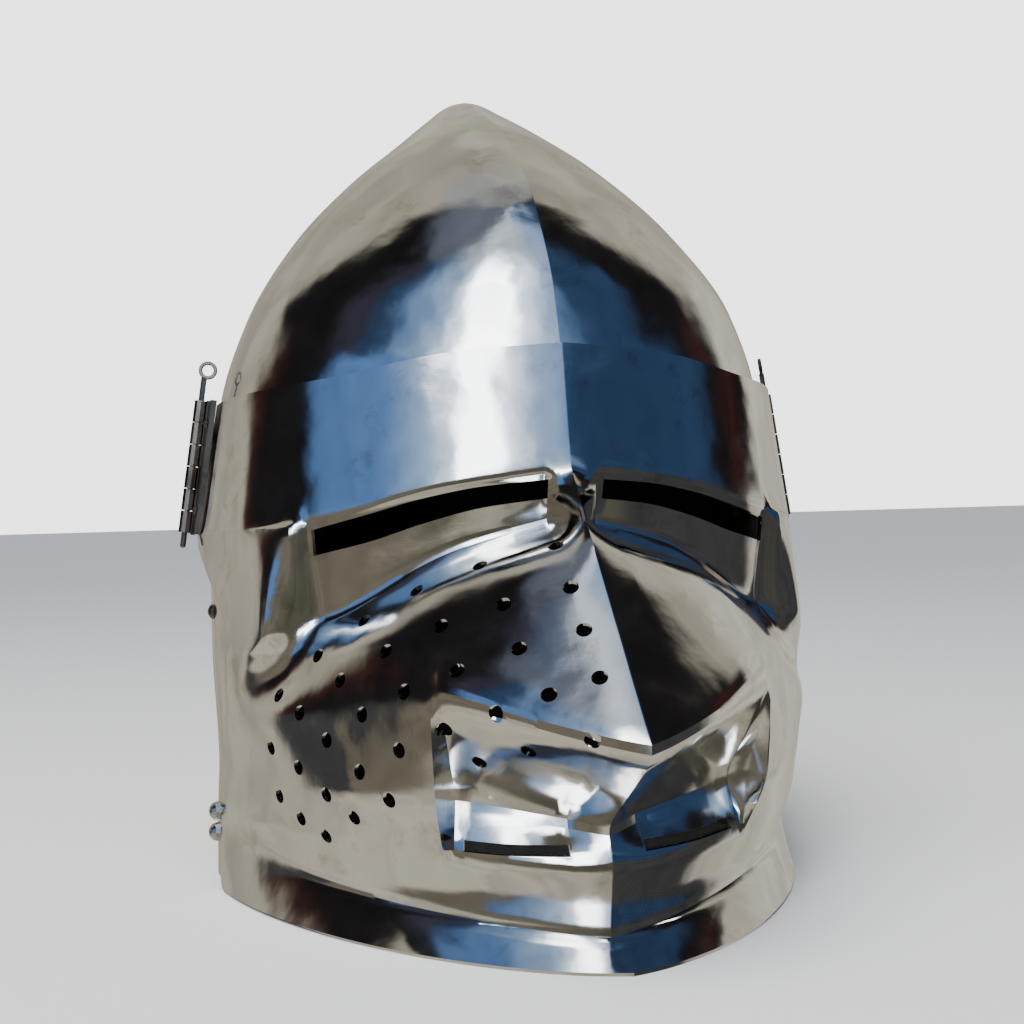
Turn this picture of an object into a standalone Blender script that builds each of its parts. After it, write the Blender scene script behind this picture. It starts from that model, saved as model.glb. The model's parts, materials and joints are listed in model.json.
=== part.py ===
"""Visored bascinet: a pointed steel skull with a blunt snouted visor on side pivots.

Metres, +Z up, the face towards -Y, the wearer's right towards -X.
The helmet stands on its rim in the plane z = 0.
"""
import math

import bmesh
import bpy
import numpy as np
from mathutils import Matrix, Vector

# Driving sizes of the plates
PLATE = 0.0016            # thickness of the skull and visor steel
FIT = 0.0003              # running gap between pieces that touch
AXIS_Y = 0.0400           # the upright line that the visor is wrapped round
VISOR_END = 84.0          # angle of the visor's rear edges, from straight ahead
SKULL_HEIGHT = 0.342
RIM_SPARE = 0.0020        # the skull is made this much too long and then trimmed flat

# Visor: each line runs round the face at its own height.
# reach is its distance ahead of the axis, half_width its spread at the sides, power the
# roundness of its plan (2 is an ellipse, less is more pointed), keel the sharpness ahead.
# The four heights are those straight ahead, at 20, at 45 and at 84 degrees.
# from_a to to_a is the span of angles over which the line melts into the plain cheek.
HEIGHT_ANGLES = (0.0, 20.0, 45.0, 84.0)
VISOR_LINES = (
    # name, reach, half_width, power, keel, z0, z20, z45, z84, from_a, to_a, corner
    ("top_edge", 0.1182, 0.1198, 2.13, 0.15, 0.2145, 0.2118, 0.2045, 0.2000, 90.0, 91.0, True),
    ("crease", 0.1257, 0.1225, 2.20, 0.15, 0.1685, 0.1632, 0.1530, 0.1490, 52.0, 64.0, True),
    ("lid_foot", 0.1228, 0.1225, 2.15, 0.05, 0.1650, 0.1617, 0.1500, 0.1450, 47.0, 49.5, True),
    ("valley", 0.1180, 0.1210, 2.10, 0.05, 0.1503, 0.1388, 0.1145, 0.1000, 45.5, 55.0, True),
    ("band_foot", 0.1520, 0.1240, 1.75, 0.10, 0.1400, 0.1270, 0.1050, 0.0920, 46.0, 62.0, False),
    ("snout", 0.1830, 0.1245, 1.60, 0.10, 0.1070, 0.1095, 0.0950, 0.0830, 50.0, 66.0, False),
    ("jaw", 0.2126, 0.1230, 1.50, 0.10, 0.0758, 0.0890, 0.0800, 0.0690, 30.0, 56.0, True),
    ("fold", 0.1500, 0.1210, 1.90, 0.05, 0.0440, 0.0530, 0.0560, 0.0530, 22.4, 24.2, True),
    ("lip", 0.1650, 0.1225, 1.80, 0.05, 0.0335, 0.0358, 0.0380, 0.0390, 23.0, 34.0, True),
    ("neck", 0.1590, 0.1238, 1.55, 0.05, 0.0055, 0.0110, 0.0165, 0.0250, 90.0, 91.0, True),
    ("rim", 0.1850, 0.1245, 1.60, 0.05, 0.0012, 0.0012, 0.0012, 0.0012, 90.0, 91.0, True),
)
CORNER_FADE = (48.0, 62.0)   # beyond these angles the creases melt into the cheek
# but the jaw's crease is sharp only at the keel
EARLY_FADE = {"jaw": (4.0, 22.0)}
# The plain cheek that the lines melt into
CHEEK = (
    # height, reach, half_width, power
    (0.2145, 0.1182, 0.1198, 2.13),
    (0.1800, 0.1287, 0.1225, 2.05),
    (0.1500, 0.1400, 0.1250, 2.00),
    (0.1150, 0.1650, 0.1255, 1.94),
    (0.0900, 0.1859, 0.1247, 1.84),
    (0.0700, 0.1950, 0.1235, 1.76),
    (0.0500, 0.1820, 0.1216, 1.77),
    (0.0350, 0.1660, 0.1228, 1.78),
    (0.0200, 0.1590, 0.1238, 1.55),
    (0.0000, 0.1850, 0.1245, 1.60),
)
CHEEK_KEEL = 0.05
# The rear edge is scooped forward below the hinge and rounded at the rim
END_FROM = 66.0           # the columns beyond this angle are drawn in to the edge
END_HEIGHTS = (0.0, 0.0015, 0.0040, 0.0080, 0.0450, 0.0600, 0.0780, 0.0950, 0.1080, 0.1200,
               0.1300, 0.1420, 0.2145)
END_ANGLES = (81.2, 82.4, 83.5, 84.0, 84.0, 78.5, 73.0, 70.0, 69.2, 71.8, 78.0, 84.0, 84.0)
# and it flares out to meet the hinge
FLARE_HEIGHTS = (0.1200, 0.1300, 0.1420, 0.1476, 0.2000, 0.2145)
FLARE_AMOUNTS = (0.0, 0.0005, 0.0047, 0.0033, 0.0009, 0.0005)
# The nose bridge stands proud between the slits
BRIDGE = {"lid_foot": (0.1290, 5.4), "valley": (0.1420, 4.2)}   # ridge reach, half angle
ROWS_BETWEEN = 2          # rows of faces between neighbouring lines
ROWS_IN_BEVEL = 1         # and below these two, which head a narrow bevel
BEVELS = ("crease", "fold")
ROWS_FOR_CUTTERS = 6      # finer rows, from which the cutters read the surface

# Eye slits, from the nose bridge out to the temple
EYE_SPAN = (4.9, 46.4)
EYE_HEIGHTS = (
    # angle, top, bottom
    (4.9, 0.1640, 0.1570),
    (15.0, 0.1622, 0.1545),
    (25.0, 0.1585, 0.1495),
    (35.0, 0.1532, 0.1432),
    (46.4, 0.1478, 0.1382),
)
# Mouth slits
MOUTH_SPAN = (4.8, 19.5)
MOUTH_HEIGHTS = (
    # angle, top, bottom
    (4.8, 0.0385, 0.0350),
    (12.0, 0.0390, 0.0354),
    (19.5, 0.0402, 0.0364),
)
SLIT_STEPS = 7
SLIT_REACH = 0.006        # how far a slit cutter stands out on each side of the plate

# Breath holes, on the wearer's right only: five slanting rows
BREATH_RADIUS = 0.0028
BREATH_SIDES = 8
BREATH_ROWS = (
    # count, first angle, first height, middle angle, middle height, last angle, last height
    (6, 4.5, 0.1406, 30.3, 0.1204, 51.5, 0.0866),
    (7, 4.0, 0.1266, 28.5, 0.1052, 53.0, 0.0669),
    (8, 3.5, 0.1130, 28.3, 0.0880, 52.5, 0.0486),
    (8, 3.0, 0.0985, 22.5, 0.0765, 47.0, 0.0416),
    (7, 5.0, 0.0790, 21.5, 0.0618, 41.5, 0.0364),
)

# Skull: sections from the rim to the point
SKULL = (
    # height, centre_y, half_width, front_y, back_y
    (0.0000, 0.0600, 0.1222, -0.0675, 0.1600),
    (0.0300, 0.0600, 0.1213, -0.0675, 0.1577),
    (0.0500, 0.0600, 0.1204, -0.0675, 0.1575),
    (0.1000, 0.0575, 0.1222, -0.0715, 0.1665),
    (0.1500, 0.0495, 0.1216, -0.0775, 0.1725),
    (0.2000, 0.0405, 0.1170, -0.0775, 0.1725),
    (0.2350, 0.0375, 0.1055, -0.0685, 0.1675),
    (0.2700, 0.0495, 0.0838, -0.0460, 0.1565),
    (0.3000, 0.0635, 0.0557, -0.0120, 0.1395),
    (0.3185, 0.0735, 0.0338, 0.0205, 0.1235),
    (0.3330, 0.0805, 0.0170, 0.0535, 0.1045),
    (0.3395, 0.0800, 0.0080, 0.0700, 0.0895),
    (0.3420, 0.0800, 0.0005, 0.0795, 0.0805),
)
SKULL_POWER = 1.88
SKULL_KEEL = 0.14
SKULL_ROWS = 16
SKULL_CROWDING = 1.7      # how much closer the rows lie near the point
SKULL_COLUMNS = 36
FACE_HALF_WIDTH = 0.101
FACE_FOOT = 0.060
FACE_RISE = 0.126
FACE_POWER = 2.6
FACE_STEPS = 20

# Temple hinge: its barrel leans out towards the foot
HINGE_Y = 0.0320
HINGE_TOP = (0.1253, 0.2022)     # x, z
HINGE_FOOT = (0.1336, 0.1476)
KNUCKLES = 6
KNUCKLE_RADIUS = 0.0027
BORE_RADIUS = 0.0015
KNUCKLE_SIDES = 10
LEAF_INNER = 0.0045       # from the barrel's axis in to the leaf's inner face
LEAF_OUTER = 0.0023       # and to its outer face
LEAF_WIDTH = 0.0130
LEAF_YAW = 6.0            # the front leaf follows the visor's curve
TONGUE = 0.0012           # how far a leaf's tongues run past the plate edge and the axis
INSET = 0.0003            # a tongue's faces lie this far off its plate's and knuckle's

# Hinge pin, with a ring on its top
PIN_RADIUS = 0.0012
PIN_BELOW = 0.0062
PIN_RING_ABOVE = 0.0128   # from the hinge's top to the ring's centre
RING_RADIUS = 0.0031      # to the middle of its wire
RING_WIRE = 0.0008
RING_SET_IN = 0.0012      # the ring is bent towards the skull
RING_STEPS = 16
RING_SIDES = 6
RING_TURN = {-1: 8.0, 1: 70.0}   # how each ring is turned about its pin

# Side pivot on the skull, and the arm that swings on it
PIVOT_Y = 0.0650
PIVOT_Z = 0.190
PIVOT_RADIUS = 0.0030
PIVOT_HEAD_RADIUS = 0.0070
PIVOT_HEAD_HEIGHT = 0.0030
HEAD_PLAY = 0.0004        # from the arm out to the pivot's head
PIVOT_COLLAR_RADIUS = 0.0045
PIVOT_COLLAR_X = 0.1174   # the collar stands off the skull from here to the arm
PIVOT_NUT_RADIUS = 0.0050
PIVOT_NUT_X = 0.1105      # outer face of the nut inside the skull
PIVOT_NUT_DEPTH = 0.0025
ARM_X = 0.1194            # inner face of the arm round its pivot
ARM_THICKNESS = 0.0020
ARM_START = 0.0030        # behind the barrel's axis
ARM_STATIONS = (0.0030, 0.0065, 0.0100, 0.0145, 0.0190, 0.0235, 0.0280)
ARM_COLUMNS = 2
ARM_BEND = (0.0118, 0.0280)   # the arm bends out to the barrel between these radii
ARM_END_RADIUS = 0.0090
ARM_END_SIDES = 12

# Rivets
LINING_RADIUS = 0.0034
LINING_HEIGHT = 0.0020
LINING_Z = 0.1135
LINING_ANGLES = (87.0, 133.0, 180.0, 227.0, 273.0)
STUD_RADIUS = 0.0041      # ball studs low on the skull
STUD_NECK = 0.0020
STUD_RINGS = 5
STUD_ANGLE = 79.0
STUD_Z = (0.0308, 0.0222)
LEAF_RIVET_RADIUS = 0.0021
LEAF_RIVET_HEIGHT = 0.0012
LEAF_RIVET_PLACES = (-0.018, 0.018)  # along the leaf from its middle
LEAF_RIVET_IN = 0.0088
DOME_SIDES = 12
DOME_RINGS = 3
SIDES = {"right": -1, "left": 1}

# Making of the meshes
HALVINGS = 45             # steps that close in on a point of a plan curve
SHARP_ANGLE = 30.0
TIP_DEPTH = 1e-6          # the ring of points this near the top is merged into one
CUT_BELOW = -0.02         # the cutters reach down to here
CUT_REACH = 0.25          # and this far out to the front and sides


def clear_scene():
    for old in list(bpy.data.objects):
        bpy.data.objects.remove(old, do_unlink=True)


def material(name, colour, metallic, roughness):
    made = bpy.data.materials.new(name)
    made.use_nodes = True
    shader = made.node_tree.nodes["Principled BSDF"]
    shader.inputs["Base Color"].default_value = (*colour, 1.0)
    shader.inputs["Metallic"].default_value = metallic
    shader.inputs["Roughness"].default_value = roughness
    return made


def smooth_curve(x, knots, values):
    """A curve through the knots that never overshoots them."""
    knots = np.asarray(knots, float)
    values = np.asarray(values, float)
    step = np.diff(knots)
    slope = np.diff(values) / step
    tangent = np.zeros_like(values)
    tangent[0], tangent[-1] = slope[0], slope[-1]
    for i in range(1, len(knots) - 1):
        if slope[i - 1] * slope[i] > 0:
            w_a = 2 * step[i] + step[i - 1]
            w_b = step[i] + 2 * step[i - 1]
            tangent[i] = (w_a + w_b) / (w_a / slope[i - 1] + w_b / slope[i])
    x = np.clip(x, knots[0], knots[-1])
    i = np.clip(np.searchsorted(knots, x) - 1, 0, len(step) - 1)
    t = (x - knots[i]) / step[i]
    return (values[i] * (1 + 2 * t) * (1 - t) ** 2 + tangent[i] * step[i] * t * (1 - t) ** 2
            + values[i + 1] * t * t * (3 - 2 * t) + tangent[i + 1] * step[i] * t * t * (t - 1))


def plan_radius(angle, reach, half_width, power, keel):
    """Distance from the axis to a keeled superellipse, at an angle from straight ahead."""
    side = np.abs(np.sin(angle))
    ahead = np.abs(np.cos(angle))
    shift = keel * half_width
    depth = reach / (1 - (shift / (half_width + shift)) ** power) ** (1 / power)
    low = np.zeros(np.broadcast(angle, reach).shape)
    high = np.full_like(low, 1.0)
    for _ in range(HALVINGS):
        middle = (low + high) / 2
        level = ((middle * side + shift) / (half_width + shift)) ** power
        level = level + (middle * ahead / depth) ** power
        high = np.where(level > 1, middle, high)
        low = np.where(level > 1, low, middle)
    return (low + high) / 2


def fade(x, start, end):
    t = np.clip((x - start) / (end - start), 0, 1)
    return t * t * (3 - 2 * t)


def cheek_radius(turn, height):
    """The plain side of the visor, with its flare towards the hinge."""
    table = np.array(CHEEK)[::-1]
    values = [smooth_curve(height, table[:, 0], table[:, i]) for i in (1, 2, 3)]
    flare = smooth_curve(height, FLARE_HEIGHTS, FLARE_AMOUNTS)
    return (plan_radius(np.radians(turn), *values, CHEEK_KEEL)
            + flare * fade(turn, END_FROM, VISOR_END))


def visor_line(line, degrees):
    """Radius and height of one visor line at some angles."""
    name, reach, half_width, power, keel, *rest = line
    heights, from_a, to_a = rest[:4], rest[4], rest[5]
    turn = np.abs(degrees)
    height = smooth_curve(turn, HEIGHT_ANGLES, heights)
    radius = plan_radius(np.radians(turn), np.full_like(turn, reach), half_width, power, keel)
    radius = radius + (cheek_radius(turn, height) - radius) * fade(turn, from_a, to_a)
    if name in BRIDGE:
        ridge, half_angle = BRIDGE[name]
        rise = np.clip(1 - turn / half_angle, 0, 1)
        radius = radius + (ridge - radius) * rise
    return radius, height


def visor_rows(degrees, between):
    """Radius, height and angle of every row of the visor, top edge first."""
    points = [np.stack(visor_line(line, degrees), -1) for line in VISOR_LINES]
    softs = [fade(np.abs(degrees), *EARLY_FADE.get(line[0], CORNER_FADE))[:, None]
             for line in VISOR_LINES]
    last = len(points) - 1
    rows = []
    for i in range(last):
        chord = points[i + 1] - points[i]
        leave, arrive = chord, chord
        if i > 0:
            through = (points[i + 1] - points[i - 1]) / 2
            leave = chord + (through - chord) * (softs[i] if VISOR_LINES[i][-1] else 1)
        if i + 1 < last:
            through = (points[i + 2] - points[i]) / 2
            arrive = chord + (through - chord) * (softs[i + 1] if VISOR_LINES[i + 1][-1] else 1)
        count = ROWS_IN_BEVEL if VISOR_LINES[i][0] in BEVELS else between
        for k in range(count):
            t = k / count
            rows.append((1 + 2 * t) * (1 - t) ** 2 * points[i] + t * (1 - t) ** 2 * leave
                        + t * t * (3 - 2 * t) * points[i + 1] + t * t * (t - 1) * arrive)
    rows.append(points[last])
    rows = np.stack(rows)
    radius, height = rows[..., 0], rows[..., 1]
    turn = np.broadcast_to(np.abs(degrees), radius.shape)
    end = smooth_curve(height, END_HEIGHTS, END_ANGLES)
    beyond = np.maximum(turn - END_FROM, 0) / (VISOR_END - END_FROM)
    drawn = np.minimum(turn, END_FROM) + beyond * (end - END_FROM)
    radius = radius + cheek_radius(drawn, height) - cheek_radius(turn, height)
    return np.stack((radius, height, np.sign(degrees) * drawn), -1)


def wrap(radius, degrees, height, axis_y):
    angle = np.radians(degrees)
    return Vector((radius * math.sin(angle), axis_y - radius * math.cos(angle), height))


def visor_angles():
    """Columns of the visor, close together where the face has its edges."""
    half = [0.0, 2.5, 5.4, 9.0, 13.0, 17.0, 22.4, 24.2, 28.0, 32.0, 36.5, 41.0, 45.5, 48.5,
            53.0, 58.0, 64.0, 70.5, 77.0, VISOR_END]
    return np.array([-a for a in half[:0:-1]] + half)


def grid_object(name, grid, closed, mat):
    """A sheet through rows of points, its faces looking outwards."""
    mesh = bpy.data.meshes.new(name)
    rows, columns = len(grid), len(grid[0])
    points = [p for row in grid for p in row]
    faces = []
    for r in range(rows - 1):
        for c in range(columns if closed else columns - 1):
            d = (c + 1) % columns
            faces.append((r * columns + c, (r + 1) * columns + c, (r + 1) * columns + d,
                          r * columns + d))
    mesh.from_pydata(points, [], faces)
    return finish_object(name, mesh, mat)


def finish_object(name, mesh, mat):
    mesh.materials.append(mat)
    mesh.shade_smooth()
    mesh.set_sharp_from_angle(angle=math.radians(SHARP_ANGLE))
    made = bpy.data.objects.new(name, mesh)
    bpy.context.scene.collection.objects.link(made)
    return made


def plate_walls(made, thickness, offset):
    walls = made.modifiers.new("walls", "SOLIDIFY")
    walls.thickness = thickness
    walls.offset = offset
    walls.use_even_offset = True


def combine(made, tool, operation):
    """Cut a tool out of a piece or fuse it on; the tool follows the piece."""
    step = made.modifiers.new(tool.name, "BOOLEAN")
    step.operation = operation
    step.object = tool
    tool.parent = made
    tool.hide_render = True
    tool.display_type = "WIRE"


def object_from_bmesh(name, bm, mat):
    bmesh.ops.recalc_face_normals(bm, faces=bm.faces)
    mesh = bpy.data.meshes.new(name)
    bm.to_mesh(mesh)
    bm.free()
    return finish_object(name, mesh, mat)


def surface_radius(degrees, height):
    """The visor's outer radius at one angle and height."""
    rows = visor_rows(np.array([float(degrees)]), ROWS_FOR_CUTTERS)[:, 0, :]
    order = np.argsort(rows[:, 1])
    return float(np.interp(height, rows[order, 1], rows[order, 0]))


def add_loop_prism(bm, inner, outer):
    """A closed body between two loops of the same number of points."""
    ring_a = [bm.verts.new(p) for p in inner]
    ring_b = [bm.verts.new(p) for p in outer]
    count = len(inner)
    for i in range(count):
        j = (i + 1) % count
        bm.faces.new((ring_a[i], ring_a[j], ring_b[j], ring_b[i]))
    bm.faces.new(ring_a[::-1])
    bm.faces.new(ring_b)


def add_slit(bm, side, span, table):
    table = np.array(table)
    turns = np.linspace(span[0], span[1], SLIT_STEPS)
    tops = smooth_curve(turns, table[:, 0], table[:, 1])
    feet = smooth_curve(turns, table[:, 0], table[:, 2])
    loop = list(zip(turns, tops)) + list(zip(turns[::-1], feet[::-1]))
    near, far = [], []
    for turn, height in loop:
        radius = surface_radius(turn, height)
        near.append(wrap(radius - SLIT_REACH, side * turn, height, AXIS_Y))
        far.append(wrap(radius + SLIT_REACH, side * turn, height, AXIS_Y))
    add_loop_prism(bm, near, far)


def surface_frame(degrees, height):
    """Point on the visor and its outward normal."""
    step_a, step_z = 0.5, 0.001
    here = wrap(surface_radius(degrees, height), -degrees, height, AXIS_Y)
    along = wrap(surface_radius(degrees + step_a, height), -degrees - step_a, height, AXIS_Y)
    above = wrap(surface_radius(degrees, height + step_z), -degrees, height + step_z, AXIS_Y)
    normal = (along - here).cross(above - here).normalized()
    if normal.dot(Vector((here.x, here.y - AXIS_Y, 0))) < 0:
        normal.negate()
    return here, normal


def add_breath(bm, degrees, height):
    centre, normal = surface_frame(degrees, height)
    turn = normal.to_track_quat("Z", "Y").to_matrix().to_4x4()
    bmesh.ops.create_cone(
        bm, cap_ends=True, segments=BREATH_SIDES, radius1=BREATH_RADIUS,
        radius2=BREATH_RADIUS, depth=4 * PLATE, matrix=Matrix.Translation(centre) @ turn)


def breath_places():
    places = []
    for count, a_0, z_0, a_1, z_1, a_2, z_2 in BREATH_ROWS:
        for i in range(count):
            t = i / (count - 1)
            weights = ((1 - t) * (1 - 2 * t), 4 * t * (1 - t), t * (2 * t - 1))
            places.append((np.dot(weights, (a_0, a_1, a_2)), np.dot(weights, (z_0, z_1, z_2))))
    return places


def make_visor(mat):
    degrees = visor_angles()
    rows = visor_rows(degrees, ROWS_BETWEEN)
    grid = [[wrap(r, a, z, AXIS_Y) for r, z, a in row] for row in rows]
    visor = grid_object("visor", grid, False, mat)
    plate_walls(visor, PLATE, -1)
    combine(visor, floor_cutter("visor_floor", mat), "DIFFERENCE")
    slits = bmesh.new()
    for side in (-1, 1):
        add_slit(slits, side, EYE_SPAN, EYE_HEIGHTS)
        add_slit(slits, side, MOUTH_SPAN, MOUTH_HEIGHTS)
    combine(visor, object_from_bmesh("slit_cutter", slits, mat), "DIFFERENCE")
    breaths = bmesh.new()
    for degrees_here, height in breath_places():
        add_breath(breaths, degrees_here, height)
    combine(visor, object_from_bmesh("breath_cutter", breaths, mat), "DIFFERENCE")
    return visor


def skull_sizes(height):
    """Centre, half width, front and back of the skull at a height."""
    table = np.array(SKULL)
    return [float(smooth_curve(height, table[:, 0], table[:, i])) for i in (1, 2, 3, 4)]


def skull_point(degrees, height):
    centre, half_width, front, back = skull_sizes(height)
    angle = math.radians(degrees)
    ahead = math.cos(angle) > 0
    reach = centre - front if ahead else back - centre
    keel = SKULL_KEEL if ahead else 0.0
    radius = float(plan_radius(angle, reach, half_width, SKULL_POWER, keel))
    return Vector((radius * math.sin(angle), centre - radius * math.cos(angle), height))


def skull_section(height, count):
    """One closed ring of the skull's outer surface."""
    return [skull_point(360.0 * i / count, height) for i in range(count)]


def skull_heights(rows):
    """Heights from the point down past the rim, closer together near the point."""
    run = SKULL_HEIGHT + RIM_SPARE
    return [SKULL_HEIGHT - run * (i / rows) ** SKULL_CROWDING for i in range(rows + 1)]


def make_skull(mat):
    grid = [skull_section(z, SKULL_COLUMNS) for z in skull_heights(SKULL_ROWS)]
    skull = grid_object("skull", grid, True, mat)
    bm = bmesh.new()
    bm.from_mesh(skull.data)
    tip = [v for v in bm.verts if v.co.z > SKULL_HEIGHT - TIP_DEPTH]
    bmesh.ops.pointmerge(bm, verts=tip, merge_co=Vector((0, SKULL[-1][1], SKULL_HEIGHT)))
    bm.to_mesh(skull.data)
    bm.free()
    plate_walls(skull, PLATE, -1)
    combine(skull, floor_cutter("skull_floor", mat), "DIFFERENCE")
    combine(skull, face_cutter(mat), "DIFFERENCE")
    combine(skull, pivot_hole("pivot_hole", mat), "DIFFERENCE")
    return skull


def floor_cutter(name, mat):
    """Trims a plate flat at z = 0."""
    bm = bmesh.new()
    box(bm, (-CUT_REACH, -CUT_REACH, CUT_BELOW), (CUT_REACH, CUT_REACH, 0.0), Matrix())
    return object_from_bmesh(name, bm, mat)


def face_cutter(mat):
    arch = []
    for i in range(FACE_STEPS + 1):
        angle = math.pi * i / FACE_STEPS
        c, s = math.cos(angle), math.sin(angle)
        arch.append((FACE_HALF_WIDTH * math.copysign(abs(c) ** (2 / FACE_POWER), c),
                     FACE_FOOT + FACE_RISE * abs(s) ** (2 / FACE_POWER)))
    outline = [(FACE_HALF_WIDTH, CUT_BELOW)] + arch + [(-FACE_HALF_WIDTH, CUT_BELOW)]
    bm = bmesh.new()
    add_loop_prism(bm, [Vector((x, -CUT_REACH, z)) for x, z in outline],
                   [Vector((x, AXIS_Y, z)) for x, z in outline])
    return object_from_bmesh("face_cutter", bm, mat)


def ring_of(bm, radius, height, sides, place, turn=0.0):
    """Vertices round the local Z axis."""
    made = []
    for i in range(sides):
        angle = 2 * math.pi * (i + turn) / sides
        point = Vector((radius * math.cos(angle), radius * math.sin(angle), height))
        made.append(bm.verts.new(place @ point))
    return made


def bridge(bm, ring_a, ring_b):
    count = len(ring_a)
    for i in range(count):
        j = (i + 1) % count
        bm.faces.new((ring_a[i], ring_a[j], ring_b[j], ring_b[i]))


def turned(name, profile, sides, place, mat):
    """A turned piece from (radius, height) points; its two ends are flat or pointed."""
    bm = bmesh.new()
    pointed = profile[0][0] == 0
    rings = [ring_of(bm, radius, height, sides, Matrix()) for radius, height in
             profile[1 if pointed else 0:]]
    for ring_a, ring_b in zip(rings, rings[1:]):
        bridge(bm, ring_a, ring_b)
    if pointed:
        tip = bm.verts.new((0, 0, profile[0][1]))
        for i in range(sides):
            bm.faces.new((tip, rings[0][i], rings[0][(i + 1) % sides]))
    else:
        bm.faces.new(rings[0])
    bm.faces.new(rings[-1])
    made = object_from_bmesh(name, bm, mat)
    made.matrix_world = place
    return made


def box(bm, low, high, place):
    corners = [Vector((x, y, z)) for z in (low[2], high[2]) for x, y in
               ((low[0], low[1]), (high[0], low[1]), (high[0], high[1]), (low[0], high[1]))]
    corners = [place @ c for c in corners]
    add_loop_prism(bm, corners[:4], corners[4:])


def tube(bm, low, high, place):
    """A knuckle: an open tube round the barrel's axis."""
    corners = ((KNUCKLE_RADIUS, low), (KNUCKLE_RADIUS, high), (BORE_RADIUS, high),
               (BORE_RADIUS, low))
    rings = [ring_of(bm, radius, height, KNUCKLE_SIDES, place, 0.5) for radius, height in corners]
    for ring_a, ring_b in zip(rings, rings[1:] + rings[:1]):
        bridge(bm, ring_a, ring_b)


def dome_profile(radius, height):
    """A domed head standing on z = 0, from its crown down."""
    ball = (radius * radius + height * height) / (2 * height)
    spread = math.asin(radius / ball)
    steps = [spread * i / DOME_RINGS for i in range(DOME_RINGS + 1)]
    return [(ball * math.sin(a), height - ball * (1 - math.cos(a))) for a in steps]


def ball_profile():
    """A ball on a short neck standing on z = 0, from its crown down."""
    spread = math.pi - math.asin(STUD_NECK / STUD_RADIUS)
    steps = [spread * i / STUD_RINGS for i in range(STUD_RINGS)]
    ball = [(STUD_RADIUS * math.sin(a), STUD_RADIUS * (1 + math.cos(a))) for a in steps]
    return ball + [(STUD_NECK, 0.0)]


def hinge_frame(side):
    """Barrel frame, mirrored for the right: Z up the pin, Y backwards, X outwards."""
    top = Vector((HINGE_TOP[0], HINGE_Y, HINGE_TOP[1]))
    foot = Vector((HINGE_FOOT[0], HINGE_Y, HINGE_FOOT[1]))
    up = (top - foot).normalized()
    back = Vector((0, 1, 0))
    frame = Matrix((back.cross(up), back, up)).transposed().to_4x4()
    frame.translation = (top + foot) / 2
    return Matrix.Scale(side, 4, Vector((1, 0, 0))) @ frame, (top - foot).length


def add_knuckles(made, side, first, tongue_y, turn, mat):
    """Fuse on every other knuckle, counted from the top, each on a tongue of the leaf."""
    frame, length = hinge_frame(side)
    each = length / KNUCKLES
    tongues = bmesh.new()
    tubes = bmesh.new()
    for i in range(first, KNUCKLES, 2):
        high = length / 2 - i * each - FIT / 2
        low = high - each + FIT
        box(tongues, (-LEAF_INNER + INSET, tongue_y[0], low + INSET),
            (-LEAF_OUTER + INSET, tongue_y[1], high - INSET), frame @ turn)
        tube(tubes, low, high, frame)
    combine(made, object_from_bmesh(made.name + "_tongues", tongues, mat), "UNION")
    combine(made, object_from_bmesh(made.name + "_knuckles", tubes, mat), "UNION")


def leaf_turn():
    return Matrix.Rotation(math.radians(-LEAF_YAW), 4, "Z")


def make_front_leaf(name, side, mat):
    """The leaf on the visor, with the first, third and fifth knuckles."""
    frame, length = hinge_frame(side)
    edge = -(KNUCKLE_RADIUS + FIT)
    bm = bmesh.new()
    box(bm, (-LEAF_INNER, -LEAF_WIDTH, -length / 2), (-LEAF_OUTER, edge, length / 2),
        frame @ leaf_turn())
    leaf = object_from_bmesh(name, bm, mat)
    add_knuckles(leaf, side, 0, (edge - TONGUE, TONGUE), leaf_turn(), mat)
    return leaf


def arm_x(y, z):
    """The arm's inner face: flat round the pivot, then out to the leaning barrel."""
    lean = (HINGE_FOOT[0] - HINGE_TOP[0]) / (HINGE_TOP[1] - HINGE_FOOT[1])
    by_barrel = HINGE_TOP[0] + (HINGE_TOP[1] - z) * lean - LEAF_INNER
    away = math.hypot(y - PIVOT_Y, z - PIVOT_Z)
    return ARM_X + (by_barrel - ARM_X) * float(fade(away, *ARM_BEND))


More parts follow.
